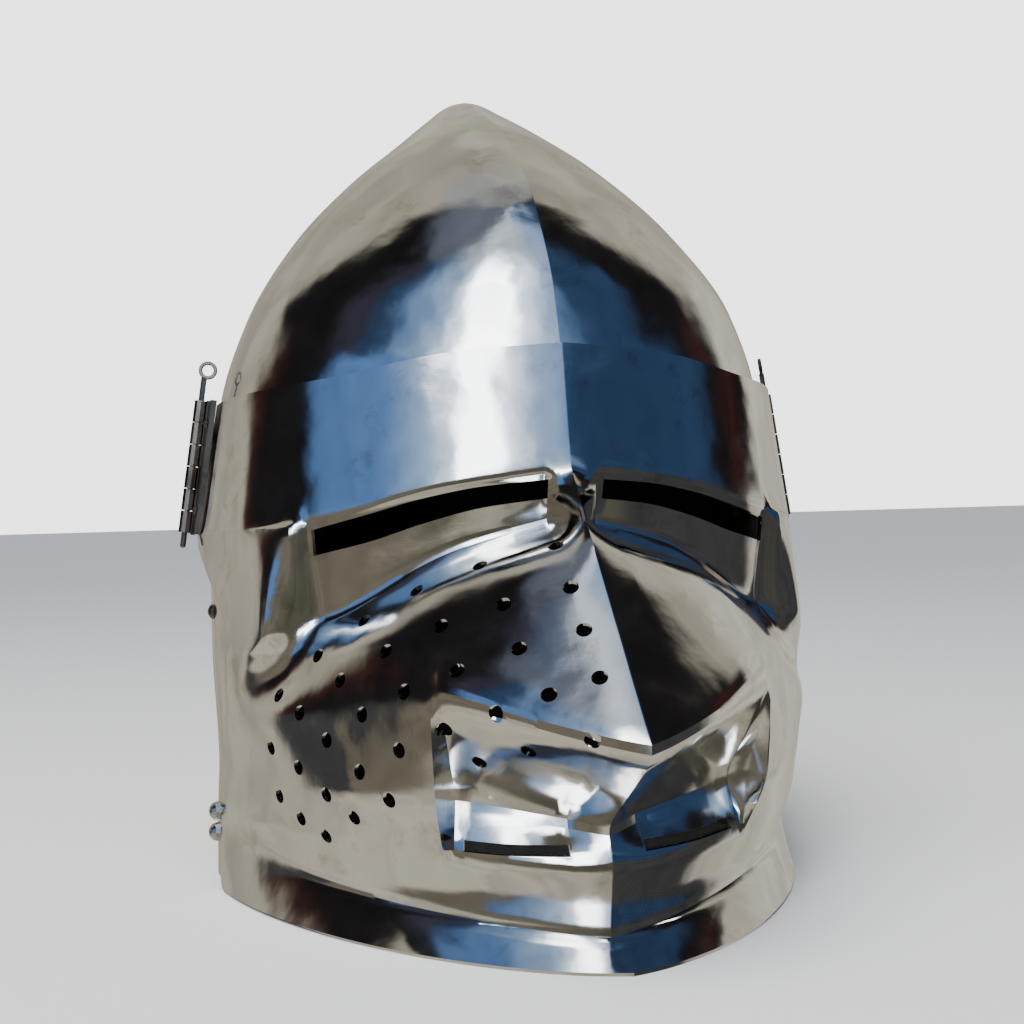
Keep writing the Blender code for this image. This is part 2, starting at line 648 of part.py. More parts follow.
def make_arm(name, side, mat):
    """The arm from the side pivot to the hinge, with the other three knuckles."""
    reach = PIVOT_Y - HINGE_Y
    bm = bmesh.new()
    rows = []
    for station in ARM_STATIONS + (reach,):
        y = HINGE_Y + station
        slim = float(fade(station, ARM_START, reach))
        foot = HINGE_FOOT[1] - TONGUE
        low = foot + (PIVOT_Z - ARM_END_RADIUS - foot) * slim
        high = HINGE_TOP[1] + (PIVOT_Z + ARM_END_RADIUS - HINGE_TOP[1]) * slim
        heights = [low + (high - low) * k / ARM_COLUMNS for k in range(ARM_COLUMNS + 1)]
        rows.append([bm.verts.new((side * arm_x(y, z), y, z)) for z in heights])
    for row_a, row_b in zip(rows, rows[1:]):
        for k in range(ARM_COLUMNS):
            quad = (row_a[k], row_b[k], row_b[k + 1], row_a[k + 1])
            bm.faces.new(quad if side > 0 else quad[::-1])
    tip = []
    for i in range(1, ARM_END_SIDES):
        angle = math.pi * i / ARM_END_SIDES
        tip.append(bm.verts.new((side * ARM_X, PIVOT_Y + ARM_END_RADIUS * math.sin(angle),
                                 PIVOT_Z - ARM_END_RADIUS * math.cos(angle))))
    end = tip + rows[-1][::-1]
    bm.faces.new(end if side > 0 else end[::-1])
    mesh = bpy.data.meshes.new(name)
    bm.to_mesh(mesh)
    bm.free()
    arm = finish_object(name, mesh, mat)
    plate_walls(arm, ARM_THICKNESS, 1)
    combine(arm, pivot_hole(name + "_hole", mat), "DIFFERENCE")
    add_knuckles(arm, side, 1, (-TONGUE, ARM_START + TONGUE), Matrix(), mat)
    return arm


def upright_place(side):
    """Place of a pin in its barrel, its Z along the pin and its X outwards."""
    frame, length = hinge_frame(side)
    turn = frame.to_3x3() @ Matrix.Scale(side, 3, Vector((0, 1, 0)))
    return Matrix.Translation(frame.translation) @ turn.to_4x4(), length


def make_pin(name, side, mat):
    """The loose pin that holds the hinge together, with its ring."""
    place, length = upright_place(side)
    low = -length / 2 - PIN_BELOW
    ring_z = length / 2 + PIN_RING_ABOVE
    taper = PIN_RADIUS / 2
    profile = [(taper, low), (PIN_RADIUS, low + taper), (PIN_RADIUS, ring_z - RING_RADIUS)]
    pin = turned(name, profile, KNUCKLE_SIDES, place, mat)
    turn = Matrix.Rotation(math.radians(side * RING_TURN[side]), 4, "Z")
    bm = bmesh.new()
    wires = []
    for i in range(RING_STEPS):
        around = Matrix.Rotation(2 * math.pi * i / RING_STEPS, 4, "Y")
        wire = (Matrix.Translation((-RING_SET_IN, 0, ring_z)) @ around
                @ Matrix.Translation((RING_RADIUS, 0, 0)))
        wires.append(ring_of(bm, RING_WIRE, 0.0, RING_SIDES, turn @ wire))
    for wire_a, wire_b in zip(wires, wires[1:] + wires[:1]):
        bridge(bm, wire_a, wire_b)
    combine(pin, object_from_bmesh(name + "_ring", bm, mat), "UNION")
    return pin


def make_pivot(name, side, mat):
    """The side pivot: head, shank, collar and inner nut turned as one piece."""
    seat = ARM_X + ARM_THICKNESS + HEAD_PLAY
    profile = [(r, seat + h) for r, h in dome_profile(PIVOT_HEAD_RADIUS, PIVOT_HEAD_HEIGHT)]
    profile += [(PIVOT_RADIUS, seat), (PIVOT_RADIUS, ARM_X - FIT),
                (PIVOT_COLLAR_RADIUS, ARM_X - FIT), (PIVOT_COLLAR_RADIUS, PIVOT_COLLAR_X),
                (PIVOT_RADIUS, PIVOT_COLLAR_X), (PIVOT_RADIUS, PIVOT_NUT_X),
                (PIVOT_NUT_RADIUS, PIVOT_NUT_X), (PIVOT_NUT_RADIUS, PIVOT_NUT_X - PIVOT_NUT_DEPTH)]
    place = Matrix.Translation((0, PIVOT_Y, PIVOT_Z)) @ Matrix.Rotation(side * math.pi / 2, 4, "Y")
    return turned(name, profile, DOME_SIDES, place, mat)


def pivot_hole(name, mat):
    bm = bmesh.new()
    turn = Matrix.Rotation(math.pi / 2, 4, "Y")
    radius = PIVOT_RADIUS + FIT
    bmesh.ops.create_cone(
        bm, cap_ends=True, segments=DOME_SIDES, radius1=radius, radius2=radius,
        depth=3 * ARM_X, matrix=Matrix.Translation((0, PIVOT_Y, PIVOT_Z)) @ turn)
    return object_from_bmesh(name, bm, mat)


def make_rivet(name, profile, centre, normal, mat):
    """A turned head, seated a running gap off its plate."""
    turn = normal.to_track_quat("Z", "Y").to_matrix().to_4x4()
    place = Matrix.Translation(centre + normal * FIT) @ turn
    return turned(name, profile, DOME_SIDES, place, mat)


def skull_frame(degrees, height):
    """Point on the skull's outside and its outward normal."""
    step_a, step_z = 1.0, 0.001
    here = skull_point(degrees, height)
    along = skull_point(degrees + step_a, height) - here
    above = skull_point(degrees, height + step_z) - here
    return here, along.cross(above).normalized()


def make_rivets(dark, bright):
    """All the rivet heads; those on the hinge leaves are returned."""
    for i, angle in enumerate(LINING_ANGLES):
        make_rivet("lining_rivet_%d" % (i + 1), dome_profile(LINING_RADIUS, LINING_HEIGHT),
                   *skull_frame(angle, LINING_Z), dark)
    on_leaves = []
    for word, side in SIDES.items():
        for i, z in enumerate(STUD_Z):
            make_rivet("cheek_stud_%s_%d" % (word, i + 1), ball_profile(),
                       *skull_frame(side * STUD_ANGLE, z), bright)
        frame, _ = hinge_frame(side)
        leaf = frame @ leaf_turn()
        out = (leaf.to_3x3() @ Vector((1, 0, 0))).normalized()
        for i, along in enumerate(LEAF_RIVET_PLACES):
            centre = leaf @ Vector((-LEAF_OUTER, -LEAF_RIVET_IN, along))
            on_leaves.append(make_rivet(
                "leaf_rivet_%s_%d" % (word, i + 1),
                dome_profile(LEAF_RIVET_RADIUS, LEAF_RIVET_HEIGHT), centre, out, dark))
    return on_leaves


def make_axis(name, place, children):
    """An empty on a joint's axis that carries the pieces that move with it."""
    axis = bpy.data.objects.new(name, None)
    axis.empty_display_size = 0.02
    axis.matrix_world = place
    bpy.context.scene.collection.objects.link(axis)
    for child in children:
        child.parent = axis
        child.matrix_parent_inverse = place.inverted()
    return axis


def main():
    clear_scene()
    steel = material("polished_steel", (0.62, 0.62, 0.60), 1.0, 0.12)
    dark = material("dark_steel", (0.16, 0.15, 0.14), 1.0, 0.38)
    bright = material("rivet_steel", (0.55, 0.55, 0.53), 1.0, 0.20)
    make_skull(steel)
    moving = [make_visor(steel)]
    for word, side in SIDES.items():
        moving.append(make_front_leaf("hinge_front_" + word, side, dark))
        moving.append(make_arm("hinge_rear_" + word, side, dark))
        pin = make_pin("hinge_pin_" + word, side, dark)
        moving.append(make_axis("pin_axis_" + word, upright_place(side)[0], [pin]))
        make_pivot("temple_pivot_" + word, side, dark)
    moving += make_rivets(dark, bright)
    make_axis("visor_axis", Matrix.Translation((0, PIVOT_Y, PIVOT_Z)), moving)


main()
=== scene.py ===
"""Looks of the visored bascinet: fine plates, steel, light and camera."""
import json
import math

import bmesh
import bpy
import numpy as np
from mathutils import Matrix, Vector

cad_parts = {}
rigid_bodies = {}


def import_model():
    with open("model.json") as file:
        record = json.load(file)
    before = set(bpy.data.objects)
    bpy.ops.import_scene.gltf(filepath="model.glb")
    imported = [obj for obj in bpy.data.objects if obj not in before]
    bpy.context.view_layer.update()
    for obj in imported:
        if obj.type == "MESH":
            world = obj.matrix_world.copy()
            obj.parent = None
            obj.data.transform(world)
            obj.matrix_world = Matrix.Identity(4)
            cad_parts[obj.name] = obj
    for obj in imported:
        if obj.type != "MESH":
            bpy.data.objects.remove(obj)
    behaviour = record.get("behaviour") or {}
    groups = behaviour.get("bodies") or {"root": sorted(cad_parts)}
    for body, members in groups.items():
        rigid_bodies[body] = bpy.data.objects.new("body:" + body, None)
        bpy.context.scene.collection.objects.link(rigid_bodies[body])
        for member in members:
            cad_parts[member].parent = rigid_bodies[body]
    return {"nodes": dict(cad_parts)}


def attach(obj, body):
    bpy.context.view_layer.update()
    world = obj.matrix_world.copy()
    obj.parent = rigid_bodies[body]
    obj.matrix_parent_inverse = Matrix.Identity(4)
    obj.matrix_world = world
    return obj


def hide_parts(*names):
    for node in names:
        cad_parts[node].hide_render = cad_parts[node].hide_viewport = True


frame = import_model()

IMAGE = 1024.0            # the photograph's frame
SENSOR = 36.0
FOCAL_PIXELS = 1600.0
CAMERA_PLACE = (-0.15837, -0.64395, 0.15398)
CAMERA_AHEAD = (0.23653852, 0.97161952, -0.00224343)
CAMERA_UP = (0.02696425, -0.00425628, 0.99962734)
CLIP_START = 0.01

# Driving sizes of the plates
PLATE = 0.0016            # thickness of the skull and visor steel
AXIS_Y = 0.0400           # the upright line that the visor is wrapped round
VISOR_END = 84.0          # angle of the visor's rear edges, from straight ahead
SKULL_HEIGHT = 0.342
RIM_SPARE = 0.0020        # the skull is made this much too long and then trimmed flat

# Visor: each line runs round the face at its own height.
# reach is its distance ahead of the axis, half_width its spread at the sides, power the
# roundness of its plan (2 is an ellipse, less is more pointed), keel the sharpness ahead.
# The four heights are those straight ahead, at 20, at 45 and at 84 degrees.
# from_a to to_a is the span of angles over which the line melts into the plain cheek.
HEIGHT_ANGLES = (0.0, 20.0, 45.0, 84.0)
VISOR_LINES = (
    # name, reach, half_width, power, keel, z0, z20, z45, z84, from_a, to_a, corner
    ("top_edge", 0.1182, 0.1198, 2.13, 0.15, 0.2145, 0.2118, 0.2045, 0.2000, 90.0, 91.0, True),
    ("crease", 0.1257, 0.1225, 2.20, 0.15, 0.1685, 0.1632, 0.1530, 0.1490, 52.0, 64.0, True),
    ("lid_foot", 0.1228, 0.1225, 2.15, 0.05, 0.1650, 0.1617, 0.1500, 0.1450, 47.0, 49.5, True),
    ("valley", 0.1180, 0.1210, 2.10, 0.05, 0.1503, 0.1388, 0.1145, 0.1000, 45.5, 55.0, True),
    ("band_foot", 0.1520, 0.1240, 1.75, 0.10, 0.1400, 0.1270, 0.1050, 0.0920, 46.0, 62.0, False),
    ("snout", 0.1830, 0.1245, 1.60, 0.10, 0.1070, 0.1095, 0.0950, 0.0830, 50.0, 66.0, False),
    ("jaw", 0.2126, 0.1230, 1.50, 0.10, 0.0758, 0.0890, 0.0800, 0.0690, 30.0, 56.0, True),
    ("fold", 0.1500, 0.1210, 1.90, 0.05, 0.0440, 0.0530, 0.0560, 0.0530, 22.4, 24.2, True),
    ("lip", 0.1650, 0.1225, 1.80, 0.05, 0.0335, 0.0358, 0.0380, 0.0390, 23.0, 34.0, True),
    ("neck", 0.1590, 0.1238, 1.55, 0.05, 0.0055, 0.0110, 0.0165, 0.0250, 90.0, 91.0, True),
    ("rim", 0.1850, 0.1245, 1.60, 0.05, 0.0012, 0.0012, 0.0012, 0.0012, 90.0, 91.0, True),
)
CORNER_FADE = (48.0, 62.0)   # beyond these angles the creases melt into the cheek
# but the jaw's crease is sharp only near the keel
EARLY_FADE = {"jaw": (4.0, 22.0)}
# The plain cheek that the lines melt into
CHEEK = (
    # height, reach, half_width, power
    (0.2145, 0.1182, 0.1198, 2.13),
    (0.1800, 0.1287, 0.1225, 2.05),
    (0.1500, 0.1400, 0.1250, 2.00),
    (0.1150, 0.1650, 0.1255, 1.94),
    (0.0900, 0.1859, 0.1247, 1.84),
    (0.0700, 0.1950, 0.1235, 1.76),
    (0.0500, 0.1820, 0.1216, 1.77),
    (0.0350, 0.1660, 0.1228, 1.78),
    (0.0200, 0.1590, 0.1238, 1.55),
    (0.0000, 0.1850, 0.1245, 1.60),
)
CHEEK_KEEL = 0.05
# The rear edge is scooped forward below the hinge and rounded at the rim
END_FROM = 66.0           # the columns beyond this angle are drawn in to the edge
END_HEIGHTS = (0.0, 0.0015, 0.0040, 0.0080, 0.0450, 0.0600, 0.0780, 0.0950, 0.1080, 0.1200,
               0.1300, 0.1420, 0.2145)
END_ANGLES = (81.2, 82.4, 83.5, 84.0, 84.0, 78.5, 73.0, 70.0, 69.2, 71.8, 78.0, 84.0, 84.0)
# and it flares out to meet the hinge
FLARE_HEIGHTS = (0.1200, 0.1300, 0.1420, 0.1476, 0.2000, 0.2145)
FLARE_AMOUNTS = (0.0, 0.0005, 0.0047, 0.0033, 0.0009, 0.0005)
# The mouth panel ends nearer the keel on the wearer's right: its own from_a and to_a
RIGHT_SPANS = {"fold": (19.6, 21.0), "lip": (20.4, 30.0)}
# The nose bridge stands proud between the slits: the reach of its ridge, and its half
# angles on the wearer's right and left
BRIDGE = {"lid_foot": (0.1290, 4.3, 6.6), "valley": (0.1420, 3.6, 4.8),
          "fold": (0.1590, 4.6, 4.6)}
ROWS_BETWEEN = 10         # rows of faces between neighbouring lines
ROWS_IN_BEVEL = 4         # and below these two, which head a narrow bevel
CREASE_SOFTENING = 2      # passes that round the creases
BEVELS = ("crease", "fold")
ROWS_FOR_CUTTERS = 6      # finer rows, from which the cutters read the surface

# Eye slits, from the nose bridge out to the temple
EYE_SPANS = {-1: (3.7, 46.4), 1: (6.2, 46.4)}   # the wearer's right is -1
EYE_HEIGHTS = (
    # angle, top, bottom
    (3.7, 0.1642, 0.1573),
    (15.0, 0.1622, 0.1545),
    (25.0, 0.1585, 0.1495),
    (35.0, 0.1532, 0.1432),
    (46.4, 0.1478, 0.1382),
)
# Mouth slits
MOUTH_SPANS = {-1: (4.8, 18.2), 1: (4.8, 20.5)}
MOUTH_HEIGHTS = (
    # angle, top, bottom
    (4.8, 0.0385, 0.0350),
    (12.0, 0.0390, 0.0354),
    (19.5, 0.0402, 0.0364),
)
SLIT_STEPS = 28
SLIT_REACH = 0.006        # how far a slit cutter stands out on each side of the plate

# Breath holes, on the wearer's right only: five slanting rows
BREATH_RADIUS = 0.0028
BREATH_SIDES = 28
BREATH_DEPTH = 4 * PLATE  # length of a breath hole's cutter
NORMAL_TURN = 0.5         # degrees and metres between the points that give a normal
NORMAL_RISE = 0.001
COLUMN_STEP = 0.75        # degrees between the columns of the visor
EXTRA_COLUMNS = (0.12, 0.36, 4.2, 4.6, 5.4, 22.4, 22.8, 23.2, 23.6, 24.2)
KEEL_COLUMNS = (0.12, 0.4, 0.9, 359.1, 359.6, 359.88)
BREATH_ROWS = (
    # count, first angle, first height, middle angle, middle height, last angle, last height
    (6, 4.5, 0.1406, 30.3, 0.1204, 51.5, 0.0866),
    (7, 4.0, 0.1266, 28.5, 0.1052, 53.0, 0.0669),
    (8, 3.5, 0.1130, 28.3, 0.0880, 52.5, 0.0486),
    (8, 3.0, 0.0985, 22.5, 0.0765, 47.0, 0.0416),
    (7, 5.0, 0.0790, 21.5, 0.0618, 41.5, 0.0364),
)

# Skull: sections from the rim to the point
SKULL = (
    # height, centre_y, half_width, front_y, back_y
    (0.0000, 0.0600, 0.1222, -0.0675, 0.1600),
    (0.0300, 0.0600, 0.1213, -0.0675, 0.1577),
    (0.0500, 0.0600, 0.1204, -0.0675, 0.1575),
    (0.1000, 0.0575, 0.1222, -0.0715, 0.1665),
    (0.1500, 0.0495, 0.1216, -0.0775, 0.1725),
    (0.2000, 0.0405, 0.1170, -0.0775, 0.1725),
    (0.2350, 0.0375, 0.1055, -0.0685, 0.1675),
    (0.2700, 0.0495, 0.0838, -0.0460, 0.1565),
    (0.3000, 0.0635, 0.0557, -0.0120, 0.1395),
    (0.3185, 0.0735, 0.0338, 0.0205, 0.1235),
    (0.3330, 0.0805, 0.0170, 0.0535, 0.1045),
    (0.3395, 0.0800, 0.0080, 0.0700, 0.0895),
    (0.3420, 0.0800, 0.0005, 0.0795, 0.0805),
)
SKULL_POWER = 1.88
SKULL_KEEL = 0.14
SKULL_ROWS = 110
SKULL_CROWDING = 1.7      # how much closer the rows lie near the point
SKULL_COLUMNS = 192
TIP_DEPTH = 1e-6          # the ring of points this near the top is merged into one
FACE_HALF_WIDTH = 0.101
FACE_FOOT = 0.060
FACE_RISE = 0.126
FACE_POWER = 2.6
FACE_STEPS = 64
PIVOT_Y = 0.0650
PIVOT_Z = 0.190
PIVOT_HOLE_RADIUS = 0.0033
PIVOT_HOLE_DEPTH = 0.40
HOLE_SIDES = 24
# Making of the meshes
HALVINGS = 45             # steps that close in on a point of a plan curve
SHARP_ANGLE = 28.0
CUT_BELOW = -0.02         # the cutters reach down to here
CUT_REACH = 0.25          # and this far out to the front and sides

# Noise patterns
# name = scale, detail, roughness, distortion
WAVE_NOISE = (26.0, 2.0, 0.45, 0.0)
FINE_WAVE_NOISE = (90.0, 2.0, 0.5, 0.0)
SCRATCH_NOISE = (60.0, 4.0, 0.6, 0.0)
CLOUD_NOISE = (40.0, 5.0, 0.6, 0.0)
STAIN_NOISE = (55.0, 6.0, 0.65, 0.4)
EDGE_NOISE = (2.2, 3.0, 0.6, 0.0)
MOTTLE_NOISE = (5.0, 4.0, 0.6, 0.5)

# Steel
WAVE_DEPTH = 0.0012
FINE_WAVE_DEPTH = 0.00008
SCRATCH_DEPTH = 0.000004
SCRATCH_STRETCH = (1.0, 40.0, 40.0)
SCRATCH_TURNS = ((0.2, 0.5, 1.1), (1.3, 0.2, 0.4))
CLOUD_SPAN = (0.3, 0.75)      # the part of the noise over which roughness rises
STAIN_SPAN = (0.56, 0.72)     # and over which stains set in
FINISHES = {
    # key: material, colour, stained colour, roughness, then strengths of waves, scratches, stains
    "plate": ("polished_plate", (0.80, 0.79, 0.77), (0.55, 0.50, 0.45), (0.06, 0.16),
              1.1, 1.5, 0.7),
    "dark": ("dark_forging", (0.20, 0.18, 0.16), (0.10, 0.075, 0.055), (0.28, 0.45),
             0.5, 2.0, 0.8),
    "bright": ("worn_rivet", (0.62, 0.61, 0.58), (0.30, 0.26, 0.22), (0.16, 0.30),
               0.5, 1.5, 0.6),
    # The inside's near-black colour is painted shade: it stands for the dark hollow of the helmet
    # seen through the slits. Its high roughness is the plain unpolished inside.
    "inside": ("painted_shade_inside", (0.035, 0.032, 0.030), (0.020, 0.014, 0.010), (0.55, 0.75),
               0.4, 2.0, 0.8),
}

# What the steel reflects: a sunlit yard, a dark gateway and a bright blue sky in it.
# Bands of colour lie one above the other, from the ground nearby up to overhead. Each stop
# is a compass angle from straight ahead of the face, the wearer's left positive.
HALF_TURN = 180.0
BEIGE = (0.45, 0.42, 0.34)
SAND = (0.54, 0.51, 0.42)
PALE_SAND = (0.68, 0.66, 0.57)
SOIL = (0.170, 0.150, 0.115)
OLIVE = (0.100, 0.095, 0.070)
GREY = (0.34, 0.35, 0.36)
HAZE = (0.70, 0.80, 0.92)
SLATE = (0.13, 0.15, 0.20)
DIM = (0.050, 0.050, 0.052)
SHADE = (0.012, 0.011, 0.012)
RUST = (0.040, 0.014, 0.013)
VIOLET = (0.040, 0.040, 0.062)
DUSK = (0.027, 0.056, 0.125)
BLUE = (0.105, 0.225, 0.500)
SKY_BLUE = (0.170, 0.300, 0.560)
PALE_BLUE = (0.36, 0.53, 0.82)
GLARE = (7.0, 7.3, 7.8)
BRIGHT = (1.30, 1.55, 1.90)
NEAR_STOPS = ((-180.0, BEIGE), (-120.0, SAND), (-60.0, SAND), (-10.0, BEIGE), (28.0, OLIVE),
              (40.0, DIM), (92.0, DIM), (104.0, SAND), (180.0, SAND))
FAR_STOPS = ((-180.0, BEIGE), (-126.0, BEIGE), (-119.0, DIM), (-106.0, DIM), (-102.0, SOIL),
             (-45.0, SOIL), (-20.0, OLIVE), (60.0, DIM), (95.0, DIM), (106.0, PALE_SAND),
             (180.0, SAND))
SKY_STOPS = ((-180.0, BEIGE), (-128.0, BEIGE), (-119.0, RUST), (-109.0, SHADE), (-89.0, SHADE),
             (-80.0, BLUE), (-58.0, BLUE), (-38.0, PALE_BLUE), (-30.0, BRIGHT), (-26.0, GLARE),
             (-18.0, GLARE), (-12.0, BRIGHT), (-2.0, PALE_BLUE), (14.0, BLUE), (34.0, DUSK),
             (80.0, DUSK), (90.0, SHADE), (100.0, RUST), (108.0, SHADE), (116.0, PALE_SAND),
             (150.0, BEIGE), (180.0, BEIGE))
UPPER_STOPS = ((-180.0, BEIGE), (-136.0, BEIGE), (-126.0, SHADE), (-98.0, SHADE), (-82.0, VIOLET),
               (-70.0, DUSK), (-60.0, SKY_BLUE), (-48.0, PALE_BLUE), (-41.0, BRIGHT), (-36.0, GLARE),
               (-22.0, GLARE), (-12.0, BRIGHT), (2.0, PALE_BLUE), (36.0, SKY_BLUE), (52.0, DUSK),
               (70.0, DUSK), (80.0, SHADE), (100.0, SHADE), (110.0, BEIGE), (180.0, SAND))
HIGH_STOPS = ((-180.0, GREY), (-140.0, GREY), (-118.0, SLATE), (-62.0, SLATE), (-50.0, HAZE),
              (-20.0, HAZE), (5.0, PALE_BLUE), (50.0, DUSK), (112.0, DIM), (140.0, GREY),
              (180.0, GREY))
# Sines of the heights where one band gives way to the next
NEAR_EDGE = (-0.45, -0.34)
GROUND_EDGE = (0.03, 0.13)
UPPER_EDGE = (0.38, 0.50)
HIGH_EDGE = (0.90, 0.97)
EDGE_RAGGED = 0.07            # how far noise shifts the bands' edges
MOTTLE = 0.20                 # how much it lightens and darkens them
MOTTLE_SPAN = (0.3, 0.7)
BACKDROP = (3.0, 3.0, 3.0, 1.0)
FLOOR_SIZE = 40.0
FLOOR_COLOUR = (0.88, 0.87, 0.84, 1.0)
FLOOR_ROUGHNESS = 0.9
FLOOR_GLOSS = 0.1
LAMPS = (
    # name, place, aim, size, power, colour
    ("soft_above", (-0.6, -0.6, 1.6), (0.0, 0.0, 0.1), 1.6, 38.0, (1.0, 0.98, 0.95)),
)


def smooth_curve(x, knots, values):
    """A curve through the knots that never overshoots them."""
    knots = np.asarray(knots, float)
    values = np.asarray(values, float)
    step = np.diff(knots)
    slope = np.diff(values) / step
    tangent = np.zeros_like(values)
    tangent[0], tangent[-1] = slope[0], slope[-1]
    for i in range(1, len(knots) - 1):
        if slope[i - 1] * slope[i] > 0:
            w_a = 2 * step[i] + step[i - 1]
            w_b = step[i] + 2 * step[i - 1]
            tangent[i] = (w_a + w_b) / (w_a / slope[i - 1] + w_b / slope[i])
    x = np.clip(x, knots[0], knots[-1])
    i = np.clip(np.searchsorted(knots, x) - 1, 0, len(step) - 1)
    t = (x - knots[i]) / step[i]
    return (values[i] * (1 + 2 * t) * (1 - t) ** 2 + tangent[i] * step[i] * t * (1 - t) ** 2
            + values[i + 1] * t * t * (3 - 2 * t) + tangent[i + 1] * step[i] * t * t * (t - 1))


def plan_radius(angle, reach, half_width, power, keel):
    """Distance from the axis to a keeled superellipse, at an angle from straight ahead."""
    side = np.abs(np.sin(angle))
    ahead = np.abs(np.cos(angle))
    shift = keel * half_width
    depth = reach / (1 - (shift / (half_width + shift)) ** power) ** (1 / power)
    low = np.zeros(np.broadcast(angle, reach).shape)
    high = np.full_like(low, 1.0)
    for _ in range(HALVINGS):
        middle = (low + high) / 2
        level = ((middle * side + shift) / (half_width + shift)) ** power
        level = level + (middle * ahead / depth) ** power
        high = np.where(level > 1, middle, high)
        low = np.where(level > 1, low, middle)
    return (low + high) / 2


def fade(x, start, end):
    t = np.clip((x - start) / (end - start), 0, 1)
    return t * t * (3 - 2 * t)


def cheek_radius(turn, height):
    """The plain side of the visor, with its flare towards the hinge."""
    table = np.array(CHEEK)[::-1]
    values = [smooth_curve(height, table[:, 0], table[:, i]) for i in (1, 2, 3)]
    flare = smooth_curve(height, FLARE_HEIGHTS, FLARE_AMOUNTS)
    return (plan_radius(np.radians(turn), *values, CHEEK_KEEL)
            + flare * fade(turn, END_FROM, VISOR_END))


def visor_line(line, degrees):
    """Radius and height of one visor line at some angles."""
    name, reach, half_width, power, keel, *rest = line
    heights, from_a, to_a = rest[:4], rest[4], rest[5]
    turn = np.abs(degrees)
    height = smooth_curve(turn, HEIGHT_ANGLES, heights)
    radius = plan_radius(np.radians(turn), np.full_like(turn, reach), half_width, power, keel)
    melt = fade(turn, from_a, to_a)
    if name in RIGHT_SPANS:
        melt = np.where(degrees < 0, fade(turn, *RIGHT_SPANS[name]), melt)
    radius = radius + (cheek_radius(turn, height) - radius) * melt
    if name in BRIDGE:
        ridge, half_right, half_left = BRIDGE[name]
        rise = np.clip(1 - turn / np.where(degrees < 0, half_right, half_left), 0, 1)
        radius = radius + (ridge - radius) * rise
    return radius, height


def visor_rows(degrees, between):
    """Radius, height and angle of every row of the visor, top edge first."""
    points = [np.stack(visor_line(line, degrees), -1) for line in VISOR_LINES]
    softs = [fade(np.abs(degrees), *EARLY_FADE.get(line[0], CORNER_FADE))[:, None]
             for line in VISOR_LINES]
    last = len(points) - 1
    rows = []
    for i in range(last):
        chord = points[i + 1] - points[i]
        leave, arrive = chord, chord
        if i > 0:
            through = (points[i + 1] - points[i - 1]) / 2
            leave = chord + (through - chord) * (softs[i] if VISOR_LINES[i][-1] else 1)
        if i + 1 < last:
            through = (points[i + 2] - points[i]) / 2
            arrive = chord + (through - chord) * (softs[i + 1] if VISOR_LINES[i + 1][-1] else 1)
        count = ROWS_IN_BEVEL if VISOR_LINES[i][0] in BEVELS else between
        for k in range(count):
            t = k / count
            rows.append((1 + 2 * t) * (1 - t) ** 2 * points[i] + t * (1 - t) ** 2 * leave
                        + t * t * (3 - 2 * t) * points[i + 1] + t * t * (t - 1) * arrive)
    rows.append(points[last])
    rows = np.stack(rows)
    for _ in range(CREASE_SOFTENING if between == ROWS_BETWEEN else 0):
        rows[1:-1] = (rows[:-2] + 2 * rows[1:-1] + rows[2:]) / 4
    radius, height = rows[..., 0], rows[..., 1]
    turn = np.broadcast_to(np.abs(degrees), radius.shape)
    end = smooth_curve(height, END_HEIGHTS, END_ANGLES)
    beyond = np.maximum(turn - END_FROM, 0) / (VISOR_END - END_FROM)
    drawn = np.minimum(turn, END_FROM) + beyond * (end - END_FROM)
    radius = radius + cheek_radius(drawn, height) - cheek_radius(turn, height)
    return np.stack((radius, height, np.sign(degrees) * drawn), -1)


def wrap(radius, degrees, height):
    """The point at an angle round the visor's axis."""
    angle = np.radians(degrees)
    return Vector((radius * math.sin(angle), AXIS_Y - radius * math.cos(angle), height))


def visor_angles():
    steps = round(VISOR_END / COLUMN_STEP)
    even = np.linspace(-VISOR_END, VISOR_END, 2 * steps + 1)
    return np.unique(np.concatenate((even, EXTRA_COLUMNS, np.negative(EXTRA_COLUMNS))))


def grid_object(name, grid, closed, mat):
    """A sheet through rows of points, its faces looking outwards."""
    mesh = bpy.data.meshes.new(name)
    rows, columns = len(grid), len(grid[0])
    points = [p for row in grid for p in row]
    faces = []
    for r in range(rows - 1):
        for c in range(columns if closed else columns - 1):
            d = (c + 1) % columns
            faces.append((r * columns + c, (r + 1) * columns + c, (r + 1) * columns + d,
                          r * columns + d))
    mesh.from_pydata(points, [], faces)
    return finish_object(name, mesh, mat)


def finish_object(name, mesh, mat):
    mesh.materials.append(mat)
    mesh.shade_smooth()
    mesh.set_sharp_from_angle(angle=math.radians(SHARP_ANGLE))
    made = bpy.data.objects.new(name, mesh)
    bpy.context.scene.collection.objects.link(made)
    return made


def add_walls(made, inside):
    """Give a sheet its thickness, inwards, with the second material on the inside, whose near-black
    colour is painted shade.
    """
    made.data.materials.append(inside)
    walls = made.modifiers.new("walls", "SOLIDIFY")
    walls.thickness = PLATE
    walls.offset = -1
    walls.use_even_offset = True
    walls.material_offset = 1


def cut(made, tool):
    """Cut a tool out of a piece; the piece holds it until the piece is baked."""
    step = made.modifiers.new(tool.name, "BOOLEAN")
    step.operation = "DIFFERENCE"
    step.object = tool
    tool.parent = made
    tool.hide_render = True


def object_from_bmesh(name, bm, mat):
    bmesh.ops.recalc_face_normals(bm, faces=bm.faces)
    mesh = bpy.data.meshes.new(name)
    bm.to_mesh(mesh)
    bm.free()
    return finish_object(name, mesh, mat)


def surface_radius(degrees, height):
    """The visor's outer radius at one angle and height."""
    rows = visor_rows(np.array([float(degrees)]), ROWS_FOR_CUTTERS)[:, 0, :]
    order = np.argsort(rows[:, 1])
    return float(np.interp(height, rows[order, 1], rows[order, 0]))


